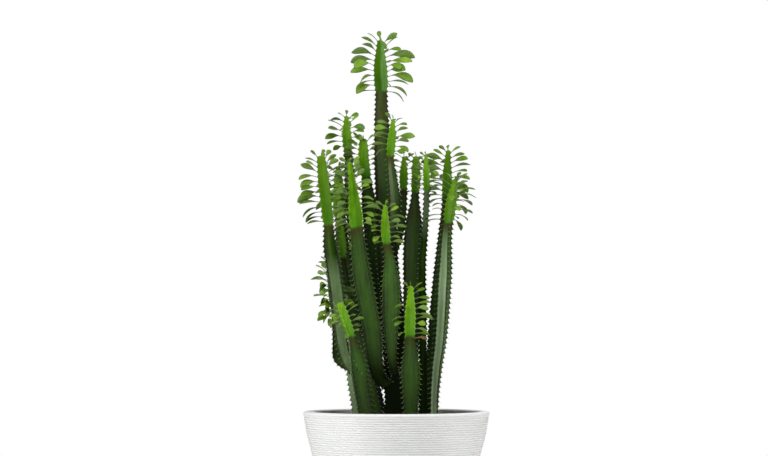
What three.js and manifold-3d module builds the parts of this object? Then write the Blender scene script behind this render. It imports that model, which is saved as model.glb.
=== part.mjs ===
// A three-angled euphorbia in a white tapered planter, in millimetres, +Z up.
// The origin is the centre of the planter's flat base, and -Y is the side that faces a viewer.
// Nine stems grow from the soil and eight more branch from them. Each stem is a three-winged
// column that ends in a crown of new growth, with a row of paddle leaves up each wing.
import * as THREE from "three";
import { mergeVertices } from "three/addons/utils/BufferGeometryUtils.js";
import Module from "manifold-3d";

const wasm = await Module();
wasm.setup();

// Planter: the rim's outer diameter sets the scale of everything else.
const RIM_RADIUS = 210;
const PLANTER_HEIGHT = 330;
const BASE_RADIUS = 127;
const FOOT_ROUND = 6; // rounded edge under the planter
const SHOULDER_HEIGHT = 279; // the side is steeper above this
const SHOULDER_RADIUS = 201.6;
const RIM_ROUND = 7; // rounded outer edge of the lip
const MOUTH_ROUND = 4; // rounded inner edge of the lip
const WALL = 14;
const MOUTH_RADIUS = SHOULDER_RADIUS - WALL; // inner edge of the lip, and of the straight throat
const FLOOR = 16;

// Liner: the dark grow pot that stands inside the planter.
const GAP = 0.3; // between pieces that touch
const LINER_WALL = 3.5;
const LINER_TOP = 328;

// Potting mix.
const SOIL_LEVEL = 293; // at the liner's wall
const SOIL_CROWNING = 4; // the middle is this much higher
const SOIL_BEND = 0.6; // share of the radius at which the surface flattens
const ROOTED = SOIL_LEVEL - 28; // the height of a stem's foot in the mix

const ROUND_SIDES = 48; // facets round the planter, liner and soil

// Stems: the wings of a stem of radius 1, as [degrees from a wing's edge, radius].
const WINGS = 3;
const WING_OUTLINE = [
  [-5, 1],
  [5, 1],
  [32, 0.53],
  [88, 0.53],
];
const RING_STEP = 82; // between the rings of points along an old stem
const CROWN_RINGS = [1.06, 1, 0.55, 0.05]; // below the tip, as shares of the crown's length
const TIP_SHARE = 0.5; // a crown's radius at its tip, as a share of its full radius
const CROWN_FILL = 0.62; // share of the crown's length in which it reaches full radius
const WAIST_SHARE = 0.88; // the radius where new growth meets old wood, as a share of the crown's
const WAIST_RUN = 0.15; // the crown narrows to it over this share of its length
const SWELL_RUN = 130; // an old stem reaches its full radius this far below the crown
const FOOT_RUN = 170; // and goes over to its foot's radius along this length
const JOINT_CLEARANCE = 0.7; // how much wider than a parent stem the cut in its branch is

// Leaves.
const FIRST_LEAF = 6; // below the tip
const LEAF_STEP = 20; // from one leaf to the next up a wing
const LEAF_SLIMNESS = 0.27; // a leaf's width as a share of its stem's longest leaf
const LEAF_THICKNESS = 1.7;
const LEAF_WIDEST = 0.68; // share of its length at which a leaf is widest
const LEAF_ROOT = 3; // how far its stalk runs into the wing
const STALK_SHARE = 0.14; // half of the stalk's width as a share of the leaf's
const LEAF_CLEARANCE = 0.8; // a leaf that would come nearer to another stem than this has dropped
const LOW_RISE = -8; // degrees that the lowest leaves rise from level
const TOP_RISE = 54; // and the topmost
const RISE_BEND = 2.2; // how late the rise sets in up the crown
const SWAY = 8; // degrees that a leaf may stray sideways or up
const ROLL = 28; // degrees that it may turn about its own length

// Colours.
const COLOURS = {
  planter: { color: 0xf2f2f0, roughness: 0.6, metalness: 0 },
  liner: { color: 0x5a5b5c, roughness: 0.7, metalness: 0 },
  soil: { color: 0x3a2c22, roughness: 1, metalness: 0 },
  stem: { color: 0x3f6a2a, roughness: 0.55, metalness: 0 },
};

// Each path runs from the foot to the tip. A stem with no parent is rooted in the soil. turn is
// the way that its first wing faces, in degrees from +X, and twist how far it has turned at the tip.
// crown, body and foot are radii to the wings' edges, leaf is the longest leaf, all in millimetres.
// swell and footRun, where given, take the place of the usual SWELL_RUN and FOOT_RUN.
const STEMS = [
  {
    name: "tall_centre_stem",
    path: [[-1, 12, ROOTED], [-1, 12, 345], [-4, 12, 400], [-6, 13, 440], [-6, 13, 480],
      [-8, 14, 560], [-15, 15, 630], [-21, 16, 700], [-25, 18, 845], [-29, 18, 920], [-33, 18, 985],
      [-34, 18, 1060], [-36, 18, 1120], [-36, 18, 1171]],
    crown: 18, body: 27, foot: 27, crownLength: 118, leaf: 66, turn: 90, twist: 0,
    swell: 270,
  },
  {
    name: "upper_centre_branch",
    parent: "tall_centre_stem",
    path: [[-17, 12, 706], [-6, -10, 762], [-4, -20, 810], [-9, -22, 855], [-13, -22, 895],
      [-10, -21, 945], [-7, -20, 987]],
    crown: 11, body: 17, foot: 12, crownLength: 82, leaf: 44, turn: 90, twist: 0,
  },
  {
    name: "centre_back_branch",
    parent: "tall_centre_stem",
    path: [[-8, 22, 600], [-12, 46, 650], [-4, 54, 690], [10, 56, 740], [16, 54, 797],
      [17, 52, 847], [18, 52, 909]],
    crown: 11, body: 11, foot: 8, crownLength: 72, leaf: 38, turn: 90, twist: 0,
  },
  {
    name: "back_left_branch",
    parent: "tall_centre_stem",
    path: [[-8, 22, 424], [-20, 48, 466], [-31, 60, 525], [-43, 66, 600], [-51, 66, 680],
      [-57, 66, 760], [-66, 66, 848], [-73, 66, 901], [-75, 66, 951]],
    crown: 14, body: 21, foot: 12, crownLength: 92, leaf: 42, turn: 84, twist: 0,
    swell: 70,
  },
  {
    name: "centre_front_branch",
    parent: "tall_centre_stem",
    path: [[-2, 2, 412], [-8, -34, 438], [-12, -50, 485], [-12, -52, 540], [-12, -52, 590],
      [-15, -52, 665], [-22, -52, 707], [-25, -52, 747], [-25, -52, 792]],
    crown: 11.5, body: 23, foot: 8, crownLength: 86, leaf: 40, turn: 90, twist: 0,
    swell: 110, footRun: 190,
  },
  {
    name: "left_front_branch",
    parent: "tall_centre_stem",
    path: [[-12, 14, 382], [-36, -10, 406], [-45, -36, 442], [-51, -54, 502], [-65, -56, 580],
      [-79, -56, 658], [-87, -56, 738], [-95, -54, 814], [-105, -52, 888]],
    crown: 19, body: 24, foot: 15, crownLength: 146, leaf: 44, turn: 78, twist: 8,
  },
  {
    name: "upper_left_stem",
    path: [[-73, 50, ROOTED], [-73, 54, 354], [-73, 66, 467], [-80, 78, 581], [-92, 84, 695],
      [-103, 84, 810], [-109, 84, 902], [-113, 84, 959], [-114, 84, 1005]],
    crown: 12.5, body: 17, foot: 15, crownLength: 80, leaf: 46, turn: 90, twist: 0,
  },
  {
    name: "left_back_stem",
    path: [[-30, 46, ROOTED], [-38, 40, 333], [-57, 32, 411], [-86, 30, 513], [-105, 30, 603],
      [-119, 30, 690], [-125, 30, 760], [-129, 30, 820], [-131, 30, 880]],
    crown: 17, body: 21, foot: 15, crownLength: 110, leaf: 44, turn: -80, twist: 0,
    footRun: 330,
  },
  {
    name: "small_left_back_branch",
    parent: "left_back_stem",
    path: [[-106, 28, 592], [-114, 6, 630], [-119, 0, 666], [-121, -2, 704], [-122, -2, 747]],
    crown: 9, body: 8, foot: 6, crownLength: 70, leaf: 28, turn: 90, twist: 0,
  },
  {
    name: "front_left_stem",
    path: [[-74, -56, ROOTED], [-79, -58, 336], [-88, -60, 391], [-95, -62, 446], [-102, -66, 495],
      [-114, -72, 531], [-128, -76, 573]],
    crown: 12.5, body: 28, foot: 28, crownLength: 80, leaf: 30, turn: -102, twist: -8,
    swell: 80,
  },
  {
    name: "far_left_branch",
    parent: "front_left_stem",
    path: [[-86, -64, 408], [-106, -70, 438], [-117, -56, 469], [-123, -40, 513], [-130, -30, 580],
      [-139, -28, 647], [-148, -28, 702], [-152, -28, 754], [-160, -28, 826], [-169, -28, 904]],
    crown: 15, body: 18.5, foot: 12, crownLength: 156, leaf: 54, turn: 84, twist: 0,
    swell: 70,
  },
  {
    name: "low_left_branch",
    parent: "front_left_stem",
    path: [[-88, -46, 422], [-113, -28, 430], [-134, -9, 448], [-138, 4, 488], [-141, 6, 545],
      [-149, 6, 600], [-156, 6, 665]],
    crown: 10, body: 14.5, foot: 13, crownLength: 100, leaf: 50, turn: -120, twist: 0,
  },
  {
    name: "centre_right_stem",
    path: [[31, 62, ROOTED], [31, 66, 354], [33, 72, 490], [37, 74, 604], [37, 74, 695],
      [41, 74, 764], [44, 74, 826], [46, 74, 867], [46, 74, 911]],
    crown: 11.5, body: 23.5, foot: 22, crownLength: 84, leaf: 38, turn: 88, twist: 0,
    swell: 87,
  },
  {
    name: "front_right_stem",
    path: [[32, -52, ROOTED], [32, -52, 331], [32, -52, 391], [31, -52, 468], [30, -52, 510],
      [31, -52, 557], [32, -52, 611]],
    crown: 14, body: 25, foot: 14, crownLength: 112, leaf: 42, turn: 90, twist: 0,
    swell: 55,
  },
  {
    name: "right_back_stem",
    path: [[60, 20, ROOTED], [60, 20, 355], [60, 20, 468], [60, 20, 560], [59, 20, 620],
      [60, 20, 670], [65, 20, 740], [69, 20, 830], [67, 20, 911]],
    crown: 9, body: 10, foot: 12, crownLength: 84, leaf: 40, turn: 90, twist: 0,
    swell: 330,
  },
  {
    name: "far_right_back_stem",
    path: [[72, 62, ROOTED], [75, 64, 354], [83, 68, 490], [94, 70, 615], [106, 70, 718],
      [114, 70, 798], [117, 70, 867], [119, 70, 924]],
    crown: 13, body: 13.5, foot: 12, crownLength: 108, leaf: 48, turn: 90, twist: 0,
  },
  {
    name: "far_right_stem",
    path: [[88, 0, ROOTED], [88, 0, 355], [93.5, 0, 423], [102.5, 0, 492], [110, 0, 605],
      [113, 0, 660], [115, 0, 722], [121, 0, 772], [128, 0, 817], [135, 0, 855]],
    crown: 14.5, body: 18.5, foot: 11, crownLength: 100, leaf: 54, turn: -64, twist: -22,
    swell: 140, footRun: 340,
  },
];

const radians = THREE.MathUtils.degToRad;
const smooth = (x) => THREE.MathUtils.smoothstep(x, 0, 1);

// A repeatable number from -1 to 1 for the small irregularities of the leaves.
function jitter(seed) {
  const wave = Math.sin(seed * 127.1) * 43758.5453;
  return 2 * (wave - Math.floor(wave)) - 1;
}

// Turns a closed three.js geometry into a solid that can be joined and cut.
function toSolid(geometry) {
  const bare = geometry.clone();
  bare.deleteAttribute("normal");
  bare.deleteAttribute("uv");
  const merged = mergeVertices(bare, 1e-4);
  return new wasm.Manifold(
    new wasm.Mesh({
      numProp: 3,
      vertProperties: merged.attributes.position.array,
      triVerts: new Uint32Array(merged.index.array),
    }),
  );
}

// Turns a solid back into a geometry with flat-shaded normals.
function toGeometry(solid) {
  const { vertProperties, triVerts } = solid.getMesh();
  const geometry = new THREE.BufferGeometry();
  geometry.setAttribute("position", new THREE.BufferAttribute(vertProperties, 3));
  geometry.setIndex(new THREE.BufferAttribute(triVerts, 1));
  geometry.computeVertexNormals();
  return geometry;
}

// A solid of revolution about Z from [radius, height] points, which start and end on the axis.
function turned(profile) {
  const points = profile.map(([radius, height]) => new THREE.Vector2(radius, height));
  return new THREE.LatheGeometry(points, ROUND_SIDES).rotateX(Math.PI / 2);
}

// The planter's outer radius at a height above its foot rounding.
function planterRadius(height) {
  const lowerSlope = (SHOULDER_RADIUS - BASE_RADIUS) / SHOULDER_HEIGHT;
  const upperSlope = (RIM_RADIUS - SHOULDER_RADIUS) / (PLANTER_HEIGHT - SHOULDER_HEIGHT);
  return height < SHOULDER_HEIGHT
    ? BASE_RADIUS + lowerSlope * height
    : SHOULDER_RADIUS + upperSlope * (height - SHOULDER_HEIGHT);
}

// The radius of the planter's hollow at a height.
const hollowRadius = (height) => Math.min(MOUTH_RADIUS, planterRadius(height) - WALL);

// A quarter round about a centre, from one angle to another, in degrees.
function quarterRound(centreRadius, centreHeight, round, from, to) {
  return [0, 1, 2].map((step) => {
    const angle = radians(from + ((to - from) * step) / 2);
    return [centreRadius + round * Math.cos(angle), centreHeight + round * Math.sin(angle)];
  });
}

// The white planter: a tapered shell with a thick rounded lip and a flat base.
function planterShell() {
  const outerHeight = PLANTER_HEIGHT - RIM_ROUND;
  const innerHeight = PLANTER_HEIGHT - MOUTH_ROUND;
  return turned([
    [0, 0],
    ...quarterRound(planterRadius(FOOT_ROUND) - FOOT_ROUND, FOOT_ROUND, FOOT_ROUND, -90, 0),
    [planterRadius(SHOULDER_HEIGHT), SHOULDER_HEIGHT],
    ...quarterRound(planterRadius(outerHeight) - RIM_ROUND, outerHeight, RIM_ROUND, 0, 90),
    ...quarterRound(MOUTH_RADIUS + MOUTH_ROUND, innerHeight, MOUTH_ROUND, 90, 180),
    [MOUTH_RADIUS, SHOULDER_HEIGHT],
    [hollowRadius(FLOOR), FLOOR],
    [0, FLOOR],
  ]);
}

// The dark liner: a thin pot that fills the hollow of the planter up to just below the lip.
function planterLiner() {
  const bottom = FLOOR + GAP;
  const outside = (height) => hollowRadius(height) - 2 * GAP;
  const inside = (height) => outside(height) - LINER_WALL;
  return turned([
    [0, bottom],
    [outside(bottom), bottom],
    [outside(SHOULDER_HEIGHT), SHOULDER_HEIGHT],
    [outside(LINER_TOP), LINER_TOP],
    [inside(LINER_TOP), LINER_TOP],
    [inside(SHOULDER_HEIGHT), SHOULDER_HEIGHT],
    [inside(bottom + LINER_WALL), bottom + LINER_WALL],
    [0, bottom + LINER_WALL],
  ]);
}

// The potting mix: it fills the liner, and its surface rises a little towards the middle.
function pottingSoil() {
  const bottom = FLOOR + LINER_WALL + 2 * GAP;
  const side = (height) => hollowRadius(height) - LINER_WALL - 4 * GAP;
  return turned([
    [0, bottom],
    [side(bottom), bottom],
    [side(SHOULDER_HEIGHT), SHOULDER_HEIGHT],
    [side(SOIL_LEVEL), SOIL_LEVEL],
    [SOIL_BEND * side(SOIL_LEVEL), SOIL_LEVEL + SOIL_BEND * SOIL_CROWNING],
    [0, SOIL_LEVEL + SOIL_CROWNING],
  ]);
}

// The line that a stem grows along, from foot to tip.
function centreLine(stem) {
  const points = stem.path.map((point) => new THREE.Vector3(...point));
  return new THREE.CatmullRomCurve3(points, false, "centripetal");
}

// The radius of a stem at a distance below its tip.
function stemRadius(stem, length, below) {
  const waist = WAIST_SHARE * stem.crown;
  if (below < stem.crownLength) {
    const filled = smooth(below / (CROWN_FILL * stem.crownLength));
    const crown = stem.crown * (TIP_SHARE + (1 - TIP_SHARE) * filled);
    const toWaist = smooth((below / stem.crownLength - 1 + WAIST_RUN) / WAIST_RUN);
    return crown + (waist - stem.crown) * toWaist;
  }
  const swell = stem.swell ?? SWELL_RUN;
  const body = waist + (stem.body - waist) * smooth((below - stem.crownLength) / swell);
  const footRun = stem.footRun ?? FOOT_RUN;
  const toFoot = smooth((below - (length - footRun)) / footRun);
  return body + (stem.foot - body) * toFoot;
}

// Where a stem is at a distance below its tip, with its direction and the two directions across it.
function stationOn(stem, curve, length, below) {
  const along = 1 - below / length;
  const centre = curve.getPointAt(along);
  const up = curve.getTangentAt(along);
  const across = new THREE.Vector3(0, 1, 0).cross(up).normalize();
  const away = up.clone().cross(across);
  const turn = radians(stem.turn + stem.twist * along);
  return { centre, up, across, away, turn, radius: stemRadius(stem, length, below) };
}

// A point at an angle from a stem's first wing and at a distance from its centre line.
function pointAround(station, angle, distance) {
  return station.centre
    .clone()
    .addScaledVector(station.across, distance * Math.cos(station.turn + angle))
    .addScaledVector(station.away, distance * Math.sin(station.turn + angle));
}

// A closed skin over rings of points, from a flat foot to a pointed tip.
function skinOver(rings, tip) {
  const sides = rings[0].length;
  const positions = rings.flat().flatMap((point) => point.toArray());
  const foot = new THREE.Vector3();
  rings[0].forEach((point) => foot.addScaledVector(point, 1 / sides));
  positions.push(...foot.toArray(), ...tip.toArray());
  const footIndex = rings.length * sides;
  const tipIndex = footIndex + 1;
  const lastRing = (rings.length - 1) * sides;
  const index = [];
  for (let side = 0; side < sides; side += 1) {
    const next = (side + 1) % sides;
    index.push(footIndex, next, side);
    index.push(tipIndex, lastRing + side, lastRing + next);
    for (let ring = 0; ring < rings.length - 1; ring += 1) {
      const low = ring * sides;
      const high = low + sides;
      index.push(low + side, low + next, high + next);
      index.push(low + side, high + next, high + side);
    }
  }
  const geometry = new THREE.BufferGeometry();
  geometry.setAttribute("position", new THREE.Float32BufferAttribute(positions, 3));
  geometry.setIndex(index);
  return geometry;
}

// A bare stem: a three-winged column along its path. extra widens it, for the cuts round it.
function bareStem(stem, extra = 0) {
  const curve = centreLine(stem);
  const length = curve.getLength();
  const oldLength = length - stem.crownLength;
  const oldSteps = Math.ceil(oldLength / RING_STEP);
  const distances = [];
  for (let step = 0; step < oldSteps; step += 1) {
    distances.push(length - (oldLength * step) / oldSteps);
  }
  for (const share of CROWN_RINGS) {
    distances.push(share * stem.crownLength);
  }
  const rings = distances.map((below) => {
    const station = stationOn(stem, curve, length, below);
    if (below === length) station.centre.addScaledVector(station.up, -extra);
    const ring = [];
    for (let wing = 0; wing < WINGS; wing += 1) {
      for (const [degrees, share] of WING_OUTLINE) {
        const angle = radians((wing * 360) / WINGS + degrees);
        ring.push(pointAround(station, angle, (station.radius + extra) * share));
      }
    }
    return ring;
  });
  return toSolid(skinOver(rings, curve.getPointAt(1)));
}

// A paddle leaf: narrow at its stalk, widest past its middle, with a blunt point.
function leafSolid(root, outward, sideways, length, width) {
  const upward = outward.clone().cross(sideways).normalize();
  const section = (share, halfWidth, thickness) => {
    const middle = root.clone().addScaledVector(outward, share * length);
    return [
      middle.clone().addScaledVector(sideways, halfWidth),
      middle.clone().addScaledVector(upward, thickness),
      middle.clone().addScaledVector(sideways, -halfWidth),
    ];
  };
  const stalk = section(0, STALK_SHARE * width, LEAF_THICKNESS);
  const blade = section(LEAF_WIDEST, width / 2, LEAF_THICKNESS);
  const tip = root.clone().addScaledVector(outward, length);
  const solid = toSolid(skinOver([stalk, blade], tip));
  return solid.volume() < 0 ? toSolid(skinOver([stalk.reverse(), blade.reverse()], tip)) : solid;
}

// The length of a leaf at a height from 0, the foot of the crown, to 1, its tip.
function leafReach(stem, height) {
  const fuller = 0.74 + 0.3 * Math.sin(Math.PI * height ** 1.4);
  const young = 1 - 0.42 * height ** 4;
  return stem.leaf * fuller * young;
}

// One leaf on a wing, at a distance below the tip.
function leafOn(stem, curve, length, wing, below) {
  const height = 1 - below / stem.crownLength;
  const seed = wing * 57 + Math.round(below) + stem.crownLength;
  const station = stationOn(stem, curve, length, below);
  const angle = radians((wing * 360) / WINGS + SWAY * jitter(seed));
  const rise = radians(
    LOW_RISE + (TOP_RISE - LOW_RISE) * height ** RISE_BEND + SWAY * jitter(seed + 1),
  );
  const facing = pointAround(station, angle, 1).sub(station.centre);
  const outward = facing
    .clone()
    .multiplyScalar(Math.cos(rise))
    .addScaledVector(station.up, Math.sin(rise))
    .normalize();
  const roll = radians(ROLL * jitter(seed + 2));
  const sideways = station.up.clone().cross(facing).normalize().applyAxisAngle(outward, roll);
  const root = station.centre.clone().addScaledVector(facing, station.radius - LEAF_ROOT);
  return leafSolid(root, outward, sideways, leafReach(stem, height), LEAF_SLIMNESS * stem.leaf);
}

// The leaves of a stem's crown, one above the other up each wing: level low down, raised at the top.
function leavesOf(stem) {
  const curve = centreLine(stem);
  const length = curve.getLength();
  const leaves = [];
  for (let wing = 0; wing < WINGS; wing += 1) {
    const first = FIRST_LEAF + (wing * LEAF_STEP) / WINGS;
    for (let below = first; below < stem.crownLength; below += LEAF_STEP) {
      leaves.push(leafOn(stem, curve, length, wing, below));
    }
  }
  return leaves;
}

// Whether two solids come nearer to each other than a distance.
function isNear(solid, other, distance) {
  const a = solid.boundingBox();
  const b = other.boundingBox();
  const apart = [0, 1, 2].some(
    (axis) => a.min[axis] - b.max[axis] > distance || b.min[axis] - a.max[axis] > distance,
  );
  return !apart && solid.minGap(other, distance) < distance;
}

// The largest body of a solid that a cut may have left with slivers.
function largestBody(solid) {
  return solid.decompose().sort((a, b) => b.volume() - a.volume())[0];
}

// Every stem: its bare column, cut where it grows from its parent, with its leaves joined on.
function growStems() {
  const byName = new Map(STEMS.map((stem) => [stem.name, stem]));
  const bare = new Map();
  for (const stem of STEMS) {
    const column = bareStem(stem);
    const parent = byName.get(stem.parent);
    bare.set(
      stem.name,
      parent ? largestBody(column.subtract(bareStem(parent, JOINT_CLEARANCE))) : column,
    );
  }
  const kept = [];
  const grown = new Map();
  for (const stem of STEMS) {
    const others = STEMS.filter((other) => other !== stem).map((other) => bare.get(other.name));
    const leaves = leavesOf(stem).filter((leaf) => {
      const crowded = others.some((other) => isNear(leaf, other, LEAF_CLEARANCE));
      const meetsLeaf = kept.some((other) => isNear(leaf, other, LEAF_CLEARANCE));
      return !crowded && !meetsLeaf;
    });
    grown.set(stem.name, wasm.Manifold.union([bare.get(stem.name), ...leaves]));
    kept.push(...leaves);
  }
  return grown;
}

// The soil with a close-fitting hole round each rooted stem.
function soilRoundStems() {
  let soil = toSolid(pottingSoil());
  for (const stem of STEMS.filter(({ parent }) => !parent)) {
    soil = soil.subtract(bareStem(stem, JOINT_CLEARANCE));
  }
  return toGeometry(soil);
}

function namedMesh(name, geometry, material) {
  const mesh = new THREE.Mesh(geometry, new THREE.MeshStandardMaterial(material));
  mesh.name = name;
  return mesh;
}

const plant = new THREE.Group();
for (const [name, solid] of growStems()) {
  plant.add(namedMesh(name, toGeometry(solid), COLOURS.stem));
}

const potted = new THREE.Group();
potted.add(namedMesh("planter_shell", planterShell(), COLOURS.planter));
potted.add(namedMesh("planter_liner", planterLiner(), COLOURS.liner));
potted.add(namedMesh("potting_soil", soilRoundStems(), COLOURS.soil));
potted.add(plant);

export default potted;
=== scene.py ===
# Potted euphorbia: a three-winged branching plant with leafy crowns, in a white ribbed planter.
# The planter's base centre is the origin, +Z is up and -Y is towards the viewer. All in metres.
import math

import bmesh
import bpy
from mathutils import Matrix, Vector


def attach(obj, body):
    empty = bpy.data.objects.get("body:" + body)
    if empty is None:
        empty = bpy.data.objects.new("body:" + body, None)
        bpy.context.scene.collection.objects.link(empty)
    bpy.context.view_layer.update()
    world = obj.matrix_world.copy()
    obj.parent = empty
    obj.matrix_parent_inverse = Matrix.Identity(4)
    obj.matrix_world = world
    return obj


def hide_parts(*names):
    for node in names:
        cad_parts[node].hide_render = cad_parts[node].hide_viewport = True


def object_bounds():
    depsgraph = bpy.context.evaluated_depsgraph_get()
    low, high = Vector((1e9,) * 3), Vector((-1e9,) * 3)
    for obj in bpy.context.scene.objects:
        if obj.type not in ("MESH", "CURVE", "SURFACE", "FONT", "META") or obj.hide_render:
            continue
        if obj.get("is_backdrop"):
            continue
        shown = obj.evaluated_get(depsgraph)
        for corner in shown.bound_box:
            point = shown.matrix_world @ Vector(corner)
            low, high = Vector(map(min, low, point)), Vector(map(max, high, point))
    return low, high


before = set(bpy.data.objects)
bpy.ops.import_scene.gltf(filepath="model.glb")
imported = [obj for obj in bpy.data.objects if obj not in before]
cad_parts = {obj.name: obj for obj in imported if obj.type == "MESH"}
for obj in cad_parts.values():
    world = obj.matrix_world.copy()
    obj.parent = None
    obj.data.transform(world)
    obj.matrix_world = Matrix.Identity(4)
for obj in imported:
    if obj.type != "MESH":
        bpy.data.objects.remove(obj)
cad_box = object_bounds()
scene = bpy.context.scene
MM = 0.001

# --------------------
# Camera: a long lens 5 m in front of the planter, about 0.5 m above the floor, tipped up 2.8
# degrees, so that it just looks over the planter's rim.
LENS_AT = (-0.0277, -5.0, 0.494)
LENS_RISE = math.atan(0.0496)
LENS_LENGTH = 104.06
SENSOR_WIDTH = 36.0
FARTHEST_SEEN = 60.0

lens = bpy.data.cameras.new("camera")
lens.sensor_width = SENSOR_WIDTH
lens.lens = LENS_LENGTH
lens.clip_end = FARTHEST_SEEN
camera = bpy.data.objects.new("camera", lens)
camera.location = LENS_AT
camera.rotation_euler = (math.radians(90) + LENS_RISE, 0.0, 0.0)
scene.collection.objects.link(camera)
scene.camera = camera

# --------------------
# Stage: a pale round floor in a white room, a tall soft box on each side a little in front of the
# plant, and weaker ones overhead, in front and behind. Pure white stays pure white in the picture.
FLOOR_RADIUS = 4.0
FLOOR_SIDES = 96
FLOOR_DROP = 0.5 * MM
ROOM_WHITE = 1.0
ROOM_FILL = 0.12

# Where each soft box hangs, the height that it is aimed at, its width, its height and its power.
SOFT_BOXES = {
    "left_soft_box": ((-2.6, -1.5, 1.4), 0.6, 1.2, 2.2, 63),
    "right_soft_box": ((2.7, -0.9, 1.4), 0.6, 1.2, 2.2, 46),
    "top_soft_box": ((0.0, -0.9, 3.0), 0.4, 1.6, 1.6, 36),
    "front_soft_box": ((-1.2, -4.2, 1.6), 0.5, 1.5, 1.5, 18),
    "back_soft_box": ((0.8, 3.0, 2.6), 0.7, 1.6, 1.6, 30),
}

scene.view_settings.view_transform = "Standard"

room = bpy.data.worlds.new("white_room")
room.use_nodes = True
room_tree = room.node_tree
room_tree.nodes.clear()
lit_or_seen = room_tree.nodes.new("ShaderNodeMixShader")
for socket, strength in zip(lit_or_seen.inputs[1:], (ROOM_FILL, ROOM_WHITE)):
    glow = room_tree.nodes.new("ShaderNodeBackground")
    glow.inputs["Color"].default_value = (1.0, 1.0, 1.0, 1.0)
    glow.inputs["Strength"].default_value = strength
    room_tree.links.new(glow.outputs["Background"], socket)
light_path = room_tree.nodes.new("ShaderNodeLightPath")
room_out = room_tree.nodes.new("ShaderNodeOutputWorld")
room_tree.links.new(light_path.outputs["Is Camera Ray"], lit_or_seen.inputs["Fac"])
room_tree.links.new(lit_or_seen.outputs["Shader"], room_out.inputs["Surface"])
scene.world = room

for name, (hung_at, aim_height, width, height, power) in SOFT_BOXES.items():
    light = bpy.data.lights.new(name, "AREA")
    light.shape = "RECTANGLE"
    light.size = width
    light.size_y = height
    light.energy = power
    soft_box = bpy.data.objects.new(name, light)
    soft_box.location = hung_at
    aim = Vector((0, 0, aim_height)) - Vector(hung_at)
    soft_box.rotation_euler = aim.to_track_quat("-Z", "Y").to_euler()
    scene.collection.objects.link(soft_box)


def material(name, roughness, **settings):
    """A new material and its shader. The settings are the same all over it."""
    made = bpy.data.materials.new(name)
    made.use_nodes = True
    shader = made.node_tree.nodes["Principled BSDF"]
    shader.inputs["Roughness"].default_value = roughness
    for label, value in settings.items():
        shader.inputs[label.replace("_", " ")].default_value = value
    return made, shader


floor_paint, _ = material("floor_paint", roughness=0.85, Base_Color=(0.92, 0.92, 0.91, 1.0))
floor_mesh = bpy.data.meshes.new("floor")
floor_rim = []
for side in range(FLOOR_SIDES):
    turn = 2 * math.pi * side / FLOOR_SIDES
    floor_rim.append((FLOOR_RADIUS * math.cos(turn), FLOOR_RADIUS * math.sin(turn), -FLOOR_DROP))
floor_mesh.from_pydata(floor_rim, [], [list(range(FLOOR_SIDES))])
floor_mesh.materials.append(floor_paint)
floor = bpy.data.objects.new("floor", floor_mesh)
scene.collection.objects.link(floor)
floor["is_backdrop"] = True

# --------------------
# Planter: a tapered round pot moulded in white plastic, with a flat underside, a rounded lip
# and fine ribs all the way up, about 2 mm deep and 5 mm apart.
RIM_RADIUS = 210 * MM
PLANTER_HEIGHT = 330 * MM
BASE_RADIUS = 127 * MM
SHOULDER_HEIGHT = 279 * MM
SHOULDER_RADIUS = 201.6 * MM
WALL = 14 * MM
MOUTH_RADIUS = SHOULDER_RADIUS - WALL
FLOOR_THICKNESS = 16 * MM
FOOT_ROUND = 6 * MM
RIM_ROUND = 7 * MM
RIM_ROUND_FROM = 23
MOUTH_ROUND = 4 * MM
RIB_STEP = 5 * MM
RIB_DEPTH = 1.9 * MM
RIB_SHAPE = ((0.0, 0.0), (0.28, 0.3), (0.5, 1.0), (0.72, 0.3))
FIRST_RIB = 15.5 * MM
LAST_RIB = PLANTER_HEIGHT - 4.5 * MM
PLANTER_SIDES = 128
SAME_PLACE = 1e-6


class Field:
    """A number, vector, colour or shape in a node tree. Numbers and vectors work with + - * /."""

    def __init__(self, tree, socket):
        self.tree = tree
        self.socket = socket

    def __abs__(self):
        return work("ABSOLUTE", self)


def operator(operation, swapped):
    """What a sign between a field and another value does: it adds one maths node."""
    if swapped:
        return lambda field, other: work(operation, other, field)
    return lambda field, other: work(operation, field, other)


SIGNS = {"add": "ADD", "sub": "SUBTRACT", "mul": "MULTIPLY", "truediv": "DIVIDE", "pow": "POWER"}
for sign, operation in SIGNS.items():
    setattr(Field, f"__{sign}__", operator(operation, swapped=False))
    setattr(Field, f"__r{sign}__", operator(operation, swapped=True))


def is_vector(value):
    """Tells a vector from a number, for a field and for a plain value."""
    if isinstance(value, Field):
        return value.socket.type == "VECTOR"
    return not isinstance(value, (int, float))


def tree_of(*values):
    """The node tree that the fields among the values are in."""
    return next(value.tree for value in values if isinstance(value, Field))


def plug(value, socket):
    """Links a field to a socket, or sets the socket to a plain value."""
    if isinstance(value, Field):
        value.tree.links.new(value.socket, socket)
    else:
        socket.default_value = value


def work(operation, *values):
    """Adds one maths node. A vector times a number is scaled by it."""
    tree = tree_of(*values)
    vectors = [is_vector(value) for value in values]
    scaled = operation == "MULTIPLY" and any(vectors) and not all(vectors)
    node = tree.nodes.new("ShaderNodeVectorMath" if any(vectors) else "ShaderNodeMath")
    node.operation = "SCALE" if scaled else operation
    sockets = (node.inputs[0], node.inputs["Scale"]) if scaled else node.inputs
    for value, socket in zip(reversed(values) if scaled and vectors[1] else values, sockets):
        plug(value, socket)
    return Field(tree, node.outputs[0])


def ramp(value, start, end, first=0.0, last=1.0, smooth=False):
    """Goes from first to last while value goes from start to end, and stays there outside."""
    node = value.tree.nodes.new("ShaderNodeMapRange")
    node.interpolation_type = "SMOOTHSTEP" if smooth else "LINEAR"
    for setting, socket in zip((value, start, end, first, last), node.inputs):
        plug(setting, socket)
    return Field(value.tree, node.outputs["Result"])


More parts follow.
